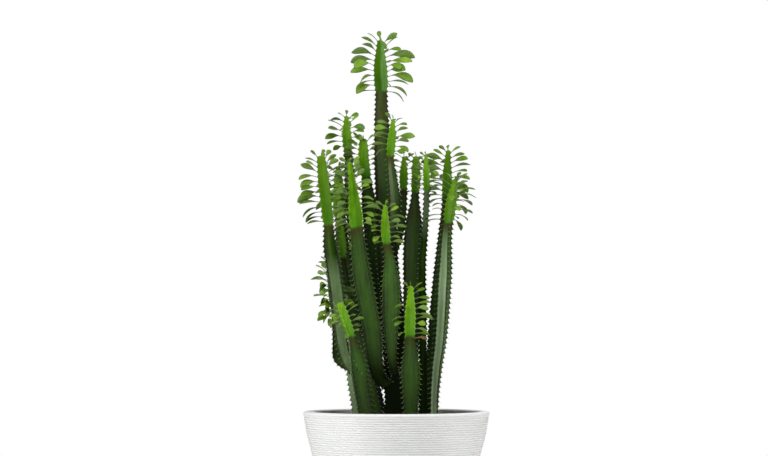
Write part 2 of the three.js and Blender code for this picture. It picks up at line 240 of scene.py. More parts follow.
def parts_of(vector):
    """The three numbers of a vector field."""
    node = vector.tree.nodes.new("ShaderNodeSeparateXYZ")
    plug(vector, node.inputs[0])
    return [Field(vector.tree, output) for output in node.outputs]


class Recipe:
    """A Geometry Nodes tree with named inputs and a Material, put together step by step."""

    KINDS = {float: "NodeSocketFloat", int: "NodeSocketInt", "vector": "NodeSocketVector",
             "material": "NodeSocketMaterial", "object": "NodeSocketObject"}

    def __init__(self, name, **inputs):
        self.tree = bpy.data.node_groups.new(name, "GeometryNodeTree")
        sockets = self.tree.interface
        sockets.new_socket("Geometry", in_out="INPUT", socket_type="NodeSocketGeometry")
        for label, kind in {**inputs, "Material": "material"}.items():
            sockets.new_socket(label, in_out="INPUT", socket_type=self.KINDS[kind])
        sockets.new_socket("Geometry", in_out="OUTPUT", socket_type="NodeSocketGeometry")
        self.start = self.tree.nodes.new("NodeGroupInput")

    def __getitem__(self, label):
        """One of the named inputs, or the Geometry."""
        return Field(self.tree, self.start.outputs[label])

    def step(self, kind, output=0, settings=None, **inputs):
        """Adds a node and returns one of its outputs, or a list for a tuple of names. Its kind
        goes without GeometryNode in front, and an input's name has _ for a space."""
        shared = kind.startswith(("ShaderNode", "FunctionNode"))
        node = self.tree.nodes.new(kind if shared else "GeometryNode" + kind)
        for setting, value in (settings or {}).items():
            setattr(node, setting, value)
        for label, value in inputs.items():
            plug(value, node.inputs[label.replace("_", " ")])
        if isinstance(output, tuple):
            return [Field(self.tree, node.outputs[label]) for label in output]
        return Field(self.tree, node.outputs[output])

    def hold(self, geometry, **facts):
        """Fixes fields as they are before the geometry moves. Returns it and the fixed fields."""
        node = self.tree.nodes.new("GeometryNodeCaptureAttribute")
        plug(geometry, node.inputs["Geometry"])
        held = {}
        for label, value in facts.items():
            node.capture_items.new("VECTOR" if is_vector(value) else "FLOAT", label)
            plug(value, node.inputs[label])
            held[label] = Field(self.tree, node.outputs[label])
        return Field(self.tree, node.outputs["Geometry"]), held

    def closed(self, mesh):
        """Merges the points that lie in one place, at a pole, a tip or a seam."""
        return self.step("MergeByDistance", Geometry=mesh, Distance=SAME_PLACE)

    def smoothed(self, mesh):
        """Shades the mesh as one smooth surface."""
        return self.step("SetShadeSmooth", Geometry=mesh, Shade_Smooth=True)

    def join(self, *pieces):
        """Several geometries as one."""
        node = self.tree.nodes.new("GeometryNodeJoinGeometry")
        for piece in pieces:
            plug(piece, node.inputs[0])
        return Field(self.tree, node.outputs[0])

    def finish(self, geometry):
        """Realizes the instances, sets the material and ends the tree."""
        real = self.step("RealizeInstances", Geometry=geometry)
        painted = self.step("SetMaterial", Geometry=real, Material=self["Material"])
        plug(painted, self.tree.nodes.new("NodeGroupOutput").inputs["Geometry"])

    def make(self, name, mesh, **inputs):
        """Runs the tree on a mesh and returns the result as a plain object of that name."""
        piece = bpy.data.objects.new(name, mesh)
        scene.collection.objects.link(piece)
        modifier = piece.modifiers.new("recipe", "NODES")
        modifier.node_group = self.tree
        for item in self.tree.interface.items_tree:
            if item.in_out == "INPUT" and item.name in inputs:
                modifier[item.identifier] = inputs[item.name]
        evaluated = piece.evaluated_get(bpy.context.evaluated_depsgraph_get())
        result = bpy.data.meshes.new_from_object(evaluated)
        piece.modifiers.clear()
        piece.data = result
        result.name = name
        return piece


def path_mesh(points):
    """A line of points joined by edges, which a recipe sweeps or turns."""
    mesh = bpy.data.meshes.new("path")
    mesh.from_pydata(points, [(i, i + 1) for i in range(len(points) - 1)], [])
    return mesh


def paint(*seen):
    """A colour given as seen, 0 to 255, as the shader's linear one."""
    linear = []
    for channel in seen:
        share = channel / 255
        linear.append(share / 12.92 if share <= 0.04045 else ((share + 0.055) / 1.055) ** 2.4)
    return (*linear, 1.0)


def mixed(share, first, second):
    """One colour going over to another as share goes from 0 to 1."""
    tree = tree_of(share, first, second)
    node = tree.nodes.new("ShaderNodeMix")
    node.data_type = "RGBA"
    plug(share, node.inputs["Factor"])
    plug(first, node.inputs[6])
    plug(second, node.inputs[7])
    return Field(tree, node.outputs[2])


def place(made):
    """Where a point of the surface is, from the object's own origin."""
    node = made.node_tree.nodes.new("ShaderNodeTexCoord")
    return Field(made.node_tree, node.outputs["Object"])


def noise(where, scale, detail=3.0, stretch=(1.0, 1.0, 1.0)):
    """Soft random patches, finer as scale grows, drawn out along an axis by stretch."""
    node = where.tree.nodes.new("ShaderNodeTexNoise")
    node.inputs["Scale"].default_value = scale
    node.inputs["Detail"].default_value = detail
    plug(work("MULTIPLY", where, stretch), node.inputs["Vector"])
    return Field(where.tree, node.outputs["Fac"])


def coat(shader, colour, height, depth, roughness=None):
    """Gives a shader its colour field, a bump by a height field with its depth in metres, and a
    roughness field where it has one."""
    plug(colour, shader.inputs["Base Color"])
    if roughness:
        plug(roughness, shader.inputs["Roughness"])
    node = height.tree.nodes.new("ShaderNodeBump")
    node.inputs["Distance"].default_value = depth
    plug(height, node.inputs["Height"])
    height.tree.links.new(node.outputs["Normal"], shader.inputs["Normal"])


def planter_radius(height):
    """The planter's outside, a cone that opens a little faster above its shoulder."""
    if height < SHOULDER_HEIGHT:
        return BASE_RADIUS + (SHOULDER_RADIUS - BASE_RADIUS) * height / SHOULDER_HEIGHT
    above = (height - SHOULDER_HEIGHT) / (PLANTER_HEIGHT - SHOULDER_HEIGHT)
    return SHOULDER_RADIUS + (RIM_RADIUS - SHOULDER_RADIUS) * above


def rounding(centre_radius, centre_height, size, first, last, steps):
    """Points on a quarter round, from one angle to another in degrees."""
    points = []
    for step in range(steps + 1):
        angle = math.radians(first + (last - first) * step / steps)
        radius = centre_radius + size * math.cos(angle)
        points.append((radius, 0.0, centre_height + size * math.sin(angle)))
    return points


# The outline runs from the middle of the underside, up the outside, and down the inside.
outline = [(0.0, 0.0, 0.0), ((BASE_RADIUS - FOOT_ROUND) / 2, 0.0, 0.0)]
outline += rounding(planter_radius(FOOT_ROUND) - FOOT_ROUND, FOOT_ROUND, FOOT_ROUND, -90, 0, 5)
rib_foot = FIRST_RIB
while rib_foot + RIB_STEP <= LAST_RIB:
    for share, depth in RIB_SHAPE:
        height = rib_foot + share * RIB_STEP
        outline.append((planter_radius(height) - depth * RIB_DEPTH, 0.0, height))
    rib_foot += RIB_STEP
outline.append((planter_radius(LAST_RIB), 0.0, LAST_RIB))
outline += rounding(RIM_RADIUS - RIM_ROUND, PLANTER_HEIGHT - RIM_ROUND, RIM_ROUND,
                    RIM_ROUND_FROM, 90, 6)
outline += rounding(MOUTH_RADIUS + MOUTH_ROUND, PLANTER_HEIGHT - MOUTH_ROUND, MOUTH_ROUND,
                    90, 180, 5)
outline.append((MOUTH_RADIUS, 0.0, SHOULDER_HEIGHT))
outline.append((planter_radius(FLOOR_THICKNESS) - WALL, 0.0, FLOOR_THICKNESS))
outline.append((0.0, 0.0, FLOOR_THICKNESS))

turned = Recipe("turned_shell", Points=int, Sides=int)
here = turned.step("InputPosition")
sheet = turned.step("MeshGrid", Size_X=1.0, Size_Y=1.0,
                    Vertices_X=turned["Points"], Vertices_Y=turned["Sides"] + 1)
grid_x, grid_y, _ = parts_of(here)
row = work("ROUND", (grid_x + 0.5) * (turned["Points"] - 1))
outline_point = turned.step("SampleIndex", settings={"data_type": "FLOAT_VECTOR"},
                            Geometry=turned["Geometry"], Index=row, Value=here)
spun = turned.step("ShaderNodeVectorRotate", settings={"rotation_type": "Z_AXIS"},
                   Vector=outline_point, Angle=(grid_y + 0.5) * (2 * math.pi))
shell = turned.step("SetPosition", Geometry=sheet, Position=spun)
outward = turned.step("FlipFaces", Mesh=turned.closed(shell))
turned.finish(turned.smoothed(outward))

white_plastic, shader = material("white_planter_plastic", roughness=0.42, Specular_IOR_Level=0.35)
spot = place(white_plastic)
_, _, up = parts_of(spot)
# The grooves between the ribs are painted darker below the lip: painted shade in the grooves.
rib_share = work("FRACT", (up - FIRST_RIB) / RIB_STEP)
below_lip = ramp(up, LAST_RIB, LAST_RIB - RIB_STEP / 4)
groove_shade = ramp(abs(rib_share - 0.5), 0.34, 0.12) * below_lip
plastic_white = mixed(noise(spot, 9.0), paint(231, 232, 231), paint(236, 236, 234))
coat(shader, mixed(groove_shade, plastic_white, paint(216, 217, 216)), height=noise(spot, 900.0, 2.0),
     depth=0.04 * MM, roughness=ramp(noise(spot, 60.0), 0.3, 0.7, 0.38, 0.5))

planter = turned.make("planter", path_mesh(outline), Points=len(outline), Sides=PLANTER_SIDES,
                      Material=white_plastic)
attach(planter, "root")
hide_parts("planter_shell")

# --------------------
# Liner: the grower's grey plastic pot, dropped into the planter, whose shade makes it look dark.
# Its plain top edge ends just below the planter's lip, and it holds the potting mix.
GAP = 0.3 * MM
LINER_WALL = 3.5 * MM
LINER_TOP = 328 * MM
LINER_EDGE = 0.9 * MM


def hollow_radius(height):
    """The planter's inside, which is straight above its shoulder."""
    return min(MOUTH_RADIUS, planter_radius(height) - WALL)


liner_foot = FLOOR_THICKNESS + GAP
liner_outside = hollow_radius(LINER_TOP) - 2 * GAP
liner_inside = liner_outside - LINER_WALL
liner_low = hollow_radius(liner_foot) - 2 * GAP
edge_height = LINER_TOP - LINER_EDGE
liner_outline = [(0.0, 0.0, liner_foot), (liner_low, 0.0, liner_foot)]
liner_outline.append((liner_outside, 0.0, SHOULDER_HEIGHT))
liner_outline += rounding(liner_outside - LINER_EDGE, edge_height, LINER_EDGE, 0, 90, 3)
liner_outline += rounding(liner_inside + LINER_EDGE, edge_height, LINER_EDGE, 90, 180, 3)
liner_outline.append((liner_inside, 0.0, SHOULDER_HEIGHT))
liner_outline.append((liner_low - LINER_WALL, 0.0, liner_foot + LINER_WALL))
liner_outline.append((0.0, 0.0, liner_foot + LINER_WALL))

grey_plastic, shader = material("dark_liner_plastic", roughness=0.6, Specular_IOR_Level=0.3)
spot = place(grey_plastic)
scuffs = noise(spot, 45.0, 4.0, stretch=(1.0, 1.0, 3.0))
coat(shader, mixed(ramp(scuffs, 0.35, 0.75), paint(172, 172, 173), paint(190, 190, 190)),
     height=noise(spot, 700.0, 2.0), depth=0.05 * MM, roughness=ramp(scuffs, 0.3, 0.7, 0.5, 0.7))

liner = turned.make("liner", path_mesh(liner_outline), Points=len(liner_outline),
                    Sides=PLANTER_SIDES, Material=grey_plastic)
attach(liner, "root")
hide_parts("planter_liner")

# --------------------
# Potting mix: dark composted bark that fills the liner to 37 mm below the rim and crowns up a
# little in the middle, with loose crumbs and a few light grains of perlite on top.
SOIL_LEVEL = 293 * MM
SOIL_CROWNING = 4 * MM
SOIL_RINGS = 44
SOIL_SIDES = 96
SMALLEST_CRUMB = (0.8 * MM, 0.8 * MM, 0.6 * MM)
CRUMB_GROWTH = (2.4 * MM, 1.1 * MM, 0.8 * MM)
ANY_TURN = (6.3, 6.3, 6.3)

soil_foot = liner_foot + LINER_WALL + GAP
soil_edge = liner_inside - 2 * GAP
soil_outline = [(0.0, 0.0, soil_foot), (liner_low - LINER_WALL - 4 * GAP, 0.0, soil_foot)]
soil_outline.append((soil_edge, 0.0, SHOULDER_HEIGHT))
for ring in range(SOIL_RINGS + 1):
    share = 1 - ring / SOIL_RINGS
    height = SOIL_LEVEL + SOIL_CROWNING * (math.cos(math.pi * share) - 1) / 2
    soil_outline.append((soil_edge * share, 0.0, height + SOIL_CROWNING / 2))


def vector_of(x, y, z):
    """A vector field from three numbers, at least one of them a field."""
    tree = tree_of(x, y, z)
    node = tree.nodes.new("ShaderNodeCombineXYZ")
    for value, socket in zip((x, y, z), node.inputs):
        plug(value, socket)
    return Field(tree, node.outputs[0])


def chance(recipe, salt, low, high, kind="FLOAT"):
    """A random number or vector for each crumb or leaf, the same at every run."""
    return recipe.step("FunctionNodeRandomValue", output="Value", settings={"data_type": kind},
                       Min=low, Max=high, Seed=recipe["Seed"] + salt)


crumbled = Recipe("crumbled_bed", Lumps=float, CrumbsPerM2=float, Seed=int)
spot = crumbled.step("InputPosition")
_, _, height = parts_of(spot)
lumps = crumbled.step("ShaderNodeTexNoise", output="Fac", Vector=spot, Scale=85.0, Detail=4.0)
on_top = ramp(height, SHOULDER_HEIGHT + 4 * MM, SHOULDER_HEIGHT + 10 * MM)
raised = vector_of(0.0, 0.0, (lumps - 0.5) * crumbled["Lumps"] * on_top)
bed = crumbled.step("SetPosition", Geometry=crumbled["Geometry"], Offset=raised)
bed = crumbled.smoothed(bed)
scattered = crumbled.step("DistributePointsOnFaces", Mesh=bed,
                          Density=crumbled["CrumbsPerM2"] * on_top, Seed=crumbled["Seed"])
size = chance(crumbled, 0, 0.0, 1.0)
any_turn = chance(crumbled, 1, (0.0, 0.0, 0.0), ANY_TURN, kind="FLOAT_VECTOR")
crumb_size = vector_of(*(least + more * size for least, more in zip(SMALLEST_CRUMB, CRUMB_GROWTH)))
crumb = crumbled.step("MeshIcoSphere", Radius=1.0, Subdivisions=1)
crumbs = crumbled.step("InstanceOnPoints", Points=scattered, Instance=crumb,
                       Rotation=any_turn, Scale=crumb_size)
crumbled.finish(crumbled.join(bed, crumbs))

bark_mix, shader = material("composted_bark", roughness=0.95, Specular_IOR_Level=0.15)
spot = place(bark_mix)
chips = noise(spot, 260.0, 4.0)
light_grains = ramp(noise(spot, 410.0, 1.0), 0.69, 0.72)
brown = mixed(ramp(chips, 0.35, 0.65), paint(30, 22, 15), paint(74, 54, 36))
coat(shader, mixed(light_grains, brown, paint(150, 140, 120)), height=chips, depth=0.6 * MM)

bed_shell = turned.make("soil_bed", path_mesh(soil_outline), Points=len(soil_outline),
                        Sides=SOIL_SIDES, Material=bark_mix)
soil = crumbled.make("potting_mix", bed_shell.data, Lumps=4 * MM, CrumbsPerM2=17000.0, Seed=7,
                     Material=bark_mix)
bpy.data.objects.remove(bed_shell)
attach(soil, "root")
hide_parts("potting_soil")

# --------------------
# Stems: three-winged succulent stems. Each wing's edge is cut into teeth about 11 mm apart. The
# young crown on top is bright green and leafy, and the old stem below it dark green and woody.
WINGS = 3
WING_ANGLE = 120
HALF_WING = 60
TOOTH_STEP = 11.2 * MM
NOTCH_AT = 0.7  # The share of a tooth's step at which the notch is deepest.
NOTCH_CURVE = 0.85
NOTCH_SHARPNESS = 2.5
TOOTH_STANDING = 0.55  # The share of the notch's depth by which a tooth stands out.
CROWN_TEETH = 0.75
ROWS_PER_TOOTH = 6
AROUND = 42
EDGE_GATHER = 1.6
VALLEY = 0.5
WING_SHARPNESS = 3.2
WAIST = 0.88
TIP_ROUND = 8 * MM
ROOT_ROUND = 14 * MM
PATH_STEPS = 14
JUST_OVER = 0.001
ROOTED = 265
INNER_SHADE = 0.75
BEHIND = 5

# What each stem has where its own row says nothing. Lengths are in millimetres and angles in
# degrees. The widths of crown, body and foot are from the centre line to a wing's edge, and shade
# is how dark the stem gets low down.
USUAL_STEM = dict(
    turn=90,  # Where the first wing points, from the viewer's right round by the back.
    twist=0,  # How far the wings turn from the foot to the tip.
    swell=130,  # The run below the crown over which the stem widens to its body.
    foot_run=170,  # The run over which the body narrows or widens to the foot.
    tip=0.5,  # The tip's width, as a share of the crown's.
    fill=0.62,  # The share of the crown in which it reaches its full width.
    notch=4.2,  # How deep the teeth are cut.
    halves=0.2,  # Painted light on the right half of each crown face, painted shade there below 0.
    grey=0.0,  # Grey-green bloom on the left half of each old face.
    deep=0.0,  # Painted shade that darkens the whole crown.
    rim=0.55,  # Painted shade on the old wings, stronger on the stems that stand behind.
    brown=45,  # The run below the crown that is brown.
    pale=(0.065, 0.065, 0.065),  # How pale each of the three old faces is.
    pale_run=(-2, -1),  # The heights up the stem between which that sets in.
    roll=1.0,  # How far the leaves are rolled to their sides.
    luck=0,  # Added to the seed of the leaves.
)
stems = [
    dict(node="tall_centre_stem", crown=18, body=27, foot=31, crown_length=118, leaf=66, luck=11,
         swell=200, deep=0.68, halves=0.95, brown=220, grey=0.2, shade=1.4, rim=1.0,
         path=[(-1, 12, ROOTED), (-1, 12, 345), (-4, 12, 400), (-6, 13, 440), (-6, 13, 480),
               (-8, 14, 560), (-15, 15, 630), (-21, 16, 700), (-25, 18, 845), (-29, 18, 920),
               (-33, 18, 985), (-34, 18, 1060), (-36, 18, 1120), (-36, 18, 1171)]),
    dict(node="upper_centre_branch", crown=11, body=17, foot=12, crown_length=82, leaf=44, deep=0.2,
         grey=0.7,
         path=[(-17, 12, 706), (-6, -10, 762), (-4, -20, 810), (-9, -22, 855), (-13, -22, 895),
               (-10, -21, 945), (-7, -20, 987)]),
    dict(node="centre_back_branch", crown=11, body=11, foot=8, crown_length=72, leaf=38, deep=0.2,
         path=[(-8, 22, 600), (-12, 46, 650), (-4, 54, 690), (10, 56, 740), (16, 54, 797),
               (17, 52, 847), (18, 52, 909)]),
    dict(node="back_left_branch", crown=14, body=21, foot=12, crown_length=92, leaf=42, turn=84,
         tip=0.75, fill=0.4, swell=70, deep=0.3,
         path=[(-8, 22, 424), (-20, 48, 466), (-31, 60, 525), (-43, 66, 600), (-51, 66, 680),
               (-57, 66, 760), (-66, 66, 848), (-73, 66, 901), (-75, 66, 951)]),
    dict(node="centre_front_branch", crown=11.5, body=23, foot=8, crown_length=86, leaf=40, swell=110,
         rim=0.1, foot_run=190,
         path=[(-2, 2, 412), (-8, -34, 438), (-12, -50, 485), (-12, -52, 540), (-12, -52, 590),
               (-15, -52, 665), (-22, -52, 707), (-25, -52, 747), (-25, -52, 792)]),
    dict(node="left_front_branch", crown=19, body=24, foot=15, crown_length=146, leaf=44, turn=78,
         twist=8, tip=0.3, fill=0.95, deep=0.1, halves=-0.5, rim=0.12, shade=0.35,
         path=[(-12, 14, 382), (-36, -10, 406), (-45, -36, 442), (-51, -54, 502), (-65, -56, 580),
               (-79, -56, 658), (-87, -56, 738), (-95, -54, 814), (-105, -52, 888)]),
    dict(node="upper_left_stem", crown=12.5, body=17, foot=15, crown_length=80, leaf=46, deep=0.2,
         grey=0.2,
         path=[(-73, 50, ROOTED), (-73, 54, 354), (-73, 66, 467), (-80, 78, 581), (-92, 84, 695),
               (-103, 84, 810), (-109, 84, 902), (-113, 84, 959), (-114, 84, 1005)]),
    dict(node="left_back_stem", crown=17, body=21, foot=17, crown_length=110, leaf=44, turn=-80,
         deep=0.4, foot_run=330, shade=0.45,
         path=[(-30, 46, ROOTED), (-38, 40, 333), (-57, 32, 411), (-86, 30, 513), (-105, 30, 603),
               (-119, 30, 690), (-125, 30, 760), (-129, 30, 820), (-131, 30, 880)]),
    dict(node="small_left_back_branch", crown=9, body=8, foot=6, crown_length=70, leaf=28,
         path=[(-106, 28, 592), (-114, 6, 630), (-119, 0, 666), (-121, -2, 704), (-122, -2, 747)]),
    dict(node="front_left_stem", crown=12.5, body=28, foot=28, crown_length=80, leaf=30, turn=-102,
         twist=-8, tip=0.85, fill=0.35, swell=80, notch=5.5, pale=(0.05, 0.1, 0.42), rim=0.1, shade=0.1,
         path=[(-74, -56, ROOTED), (-79, -58, 336), (-88, -60, 391), (-95, -62, 446), (-102, -66, 495),
               (-114, -72, 531), (-128, -76, 573)]),
    dict(node="far_left_branch", crown=15, body=18.5, foot=12, crown_length=156, leaf=54, turn=84,
         tip=0.75, fill=0.4, swell=70, deep=0.45, grey=0.15, pale=(0.08, 0.24, 0.08),
         pale_run=(290, 240),
         path=[(-86, -64, 408), (-106, -70, 438), (-117, -56, 469), (-123, -40, 513), (-130, -30, 580),
               (-139, -28, 647), (-148, -28, 702), (-152, -28, 754), (-160, -28, 826),
               (-169, -28, 904)]),
    dict(node="low_left_branch", crown=10, body=14.5, foot=13, crown_length=140, leaf=50, turn=-120,
         deep=0.3,
         path=[(-88, -46, 422), (-113, -28, 430), (-134, -9, 448), (-138, 4, 488), (-141, 6, 545),
               (-149, 6, 600), (-156, 6, 665)]),
    dict(node="centre_right_stem", crown=11.5, body=23.5, foot=22, crown_length=84, leaf=38, turn=88,
         tip=0.8, fill=0.4, swell=87, shade=0.3, rim=0.3, grey=0.25, brown=110, halves=0.4,
         path=[(31, 62, ROOTED), (31, 66, 354), (33, 72, 490), (37, 74, 604), (37, 74, 695),
               (41, 74, 764), (44, 74, 826), (46, 74, 867), (46, 74, 911)]),
    dict(node="front_right_stem", crown=14, body=25, foot=14, crown_length=112, leaf=42, swell=85,
         rim=0.1, shade=0.2,
         path=[(32, -52, ROOTED), (32, -52, 331), (32, -52, 391), (31, -52, 468), (30, -52, 510),
               (31, -52, 557), (32, -52, 611)]),
    dict(node="right_back_stem", crown=9, body=10, foot=12, crown_length=84, leaf=25, swell=330,
         pale=(0.08, 0.4, 0.08), pale_run=(450, 490),
         path=[(60, 20, ROOTED), (60, 20, 355), (60, 20, 468), (60, 20, 560), (59, 20, 620),
               (60, 20, 670), (65, 20, 740), (69, 20, 830), (67, 20, 911)]),
    dict(node="far_right_back_stem", crown=13, body=13.5, foot=12, crown_length=108, leaf=51, deep=0.45,
         brown=140,
         path=[(72, 62, ROOTED), (75, 64, 354), (83, 68, 490), (94, 70, 615), (106, 70, 718),
               (114, 70, 798), (117, 70, 867), (119, 70, 924)]),
    dict(node="far_right_stem", crown=14.5, body=18.5, foot=11, crown_length=100, leaf=54, turn=-64,
         twist=-22, swell=140, foot_run=340, deep=0.35, halves=0.4, notch=5.5, pale=(0.1, 0.1, 1.0),
         pale_run=(560, 300), roll=0.2,
         path=[(88, 0, ROOTED), (88, 0, 355), (93.5, 0, 423), (102.5, 0, 492), (110, 0, 605),
               (113, 0, 660), (115, 0, 722), (121, 0, 772), (128, 0, 817), (135, 0, 855)]),
]
LENGTHS = ("crown", "body", "foot", "crown_length", "swell", "foot_run")
PLAIN_NUMBERS = ("turn", "twist", "tip", "fill")
SHAPE_INPUTS = {"length": float, "teeth": int, **dict.fromkeys(LENGTHS + PLAIN_NUMBERS, float)}
TONES_LIGHT_AND_SHADE = ("halves", "grey", "deep", "shade", "rim")


def grown_path(knots):
    """A smooth line through the knots, given in millimetres, with no overshoot at uneven ones."""
    knots = [Vector(knot) * MM for knot in knots]
    ends = [2 * knots[0] - knots[1], *knots, 2 * knots[-1] - knots[-2]]
    points = []
    for i in range(len(knots) - 1):
        before, start, end, after = ends[i:i + 4]
        run_in = math.sqrt((start - before).length)
        run = math.sqrt((end - start).length)
        run_out = math.sqrt((after - end).length)
        leave = (start - before) / run_in - (end - before) / (run_in + run) + (end - start) / run
        arrive = (end - start) / run - (after - start) / (run + run_out) + (after - end) / run_out
        leave *= run
        arrive *= run
        for step in range(PATH_STEPS):
            t = step / PATH_STEPS
            square = -3 * start + 3 * end - 2 * leave - arrive
            cube = 2 * start - 2 * end + leave + arrive
            points.append(start + leave * t + square * t ** 2 + cube * t ** 3)
    points.append(knots[-1])
    return points


def wing_radius(recipe, below):
    """How far a wing's edge stands out at a distance below the tip: slim at the tip, full in the
    crown, waisted under it, then swelling to the old stem and drawing in at the foot."""
    crown_length = recipe["crown_length"]
    crown = recipe["crown"]
    waist = crown * WAIST
    filled = ramp(below / (crown_length * recipe["fill"]), 0, 1, smooth=True)
    tip = recipe["tip"]
    in_crown = crown * (tip + (1 - tip) * filled)
    to_waist = ramp(below / crown_length, 0.85, 1.0, smooth=True)
    upper = in_crown + (waist - crown) * to_waist
    swell = ramp((below - crown_length) / recipe["swell"], 0, 1, smooth=True)
    above_foot = recipe["length"] - below
    to_foot = ramp(above_foot / recipe["foot_run"], 1, 0, smooth=True)
    body = waist + (recipe["body"] - waist) * swell
    lower = body + (recipe["foot"] - body) * to_foot
    old = work("GREATER_THAN", below, crown_length)
    return upper + (lower - upper) * old


def dome(below):
    """How the tip is rounded off, from 0 at the very tip to 1 where it is full."""
    return work("SQRT", 1 - (1 - ramp(below / TIP_ROUND, 0, 1)) ** 2)


def stem_frame(recipe, share):
    """The stem's centre line at a share of its length: the point, and the directions up the
    stem, across the view and away from the viewer."""
    line = recipe.step("MeshToCurve", Mesh=recipe["Geometry"])
    centre, up = recipe.step("SampleCurve", output=("Position", "Tangent"),
                             settings={"mode": "FACTOR"}, Curves=line, Factor=share)
    across = work("NORMALIZE", work("CROSS_PRODUCT", (0.0, 1.0, 0.0), up))
    away = work("CROSS_PRODUCT", up, across)
    return centre, up, across, away


def swung(first, second, angle):
    """The direction at an angle from the first of two square directions, towards the second."""
    return first * work("COSINE", angle) + second * work("SINE", angle)


def keep(recipe, geometry, **facts):
    """Stores numbers on the geometry by name, for the materials."""
    for name, value in facts.items():
        geometry = recipe.step("StoreNamedAttribute", Geometry=geometry, Name=name, Value=value)
    return geometry


def unit_rod(recipe, sides, rows):
    """A rod of unit size to be shaped, and the three numbers of where each point is on it."""
    rod = recipe.step("MeshCylinder", Vertices=sides, Side_Segments=rows, Radius=1.0, Depth=1.0)
    rod, held = recipe.hold(rod, unit=recipe.step("InputPosition"))
    return rod, *parts_of(held["unit"])


# A rod along the stem's path, whose sides gather at the wings' edges and are notched there.
winged = Recipe("winged_stem", notch=float, brown=float, pale="vector", pale_from=float,
                pale_to=float, **dict.fromkeys(TONES_LIGHT_AND_SHADE, float), **SHAPE_INPUTS)
rod, rod_x, rod_y, rod_z = unit_rod(winged, AROUND, winged["teeth"] * ROWS_PER_TOOTH)
share = rod_z + 0.5
around = work("ARCTAN2", rod_y, rod_x) * (180 / math.pi)
wing = work("FLOOR", (around + (HALF_WING + JUST_OVER)) / WING_ANGLE)
off_wing = (around - wing * WING_ANGLE) / HALF_WING
from_edge = abs(off_wing) ** EDGE_GATHER
angle = (wing * WING_ANGLE + work("SIGN", off_wing) * from_edge * HALF_WING
         + winged["turn"] + winged["twist"] * share) * (math.pi / 180)
standing = (1 - from_edge) ** WING_SHARPNESS
phase = work("FRACT", share * winged["teeth"] + wing / WINGS + JUST_OVER)
notched = work("MINIMUM", phase / NOTCH_AT, (1 - phase) / (1 - NOTCH_AT)) ** NOTCH_CURVE
length = winged["length"]
below = length * (1 - share)
growth = winged["crown_length"] - below
toothed = winged["notch"] * ramp(growth, 0.0, 12 * MM, 1.0, CROWN_TEETH)
cut = toothed * (notched - TOOTH_STANDING) * standing ** NOTCH_SHARPNESS
rooting = ramp(length - below, 0.0, ROOT_ROUND, 0.4, 1.0, smooth=True)
radius = wing_radius(winged, below) * (VALLEY + (1 - VALLEY) * standing) - cut
centre, up, across, away = stem_frame(winged, share)
skin = centre + swung(across, away, angle) * (radius * (dome(below) * rooting))
body = winged.step("SetPosition", Geometry=rod, Position=skin)

# What the skin's material needs to know of each point.
first_face, far_face, last_face = parts_of(winged["pale"])
near_pale = last_face + (first_face - last_face) * work("GREATER_THAN", around, 0.0)
on_far_face = work("GREATER_THAN", abs(around), WING_ANGLE)
pale_run = ramp(share * length, winged["pale_from"], winged["pale_to"])
right_half = ramp(work("FRACT", around / WING_ANGLE + WINGS), 0.46, 0.56)
body = keep(winged, body, growth=growth, crown_height=growth / winged["crown_length"],
            wing=standing, up_stem=share * length, half=winged["halves"] * right_half,
            pale=(near_pale + (far_face - near_pale) * on_far_face) * pale_run,
            grey=winged["grey"] * (1 - right_half), brown=growth / winged["brown"],
            **{name: winged[name] for name in ("deep", "shade", "rim")})
winged.finish(winged.smoothed(winged.closed(body)))


def stored(made, name):
    """A number that the recipe stored on the surface."""
    node = made.node_tree.nodes.new("ShaderNodeAttribute")
    node.attribute_name = name
    return Field(made.node_tree, node.outputs["Fac"])


stem_skin, shader = material("winged_stem_skin", roughness=0.45, Specular_IOR_Level=0.045)
facts = ("growth", "crown_height", "wing", "up_stem", "half", "pale", "grey", "brown", "deep",
         "shade", "rim")
growth, crown_height, wing, up_stem, half, pale, grey, brown, deep, shade, rim = (
    stored(stem_skin, name) for name in facts)
spot = place(stem_skin)
_, _, above_floor = parts_of(spot)
streaks = noise(spot, 190.0, 3.0, stretch=(1.0, 1.0, 0.12))
patches = noise(spot, 38.0, 3.0, stretch=(1.0, 1.0, 0.45))
specks = noise(spot, 520.0, 2.0)

# Young skin: brighter towards the tip, painted light on the right half of each face (painted shade
# there below 0), dark streaks, light patches, light wing edges, and painted shade between other crowns.
young = mixed(ramp(crown_height, 0.0, 1.0), paint(76, 138, 8), paint(126, 176, 22))
# Painted light on the right half of each face, and painted shade there where it is below 0.
young = mixed(half, young, paint(128, 178, 92))
young = mixed(half * -1, young, paint(48, 84, 8))
young = mixed(ramp(streaks, 0.3, 0.75) * 0.5, young, paint(54, 106, 6))
young = mixed(ramp(patches, 0.45, 0.75) * 0.35, young, paint(124, 176, 44))
young = mixed(ramp(wing, 0.62, 0.95, smooth=True) * 0.55, young, paint(150, 184, 74))
# Painted shade over the whole crown.
young = mixed(deep * (1 - half * 0.35), young, paint(30, 58, 4))

# Old skin: patches, a painted highlight in the valleys, dark streaks, painted shade on the wings,
# then a grey bloom, a pale face, lighter wing edges, a brown band below the crown, a foot darker
# towards the bottom, and painted shade low between the stems.
inside_edge = ramp(wing, 0.75, 0.5)
old = mixed(ramp(patches, 0.35, 0.65), paint(24, 47, 1), paint(42, 77, 3))
# Painted highlight along the middle of each old face, in the valley between the wings.
old = mixed(ramp(wing, 0.18, 0.0, smooth=True) * 0.35, old, paint(66, 112, 12))
old = mixed(ramp(streaks, 0.45, 0.8) * 0.4, old, paint(22, 34, 2))
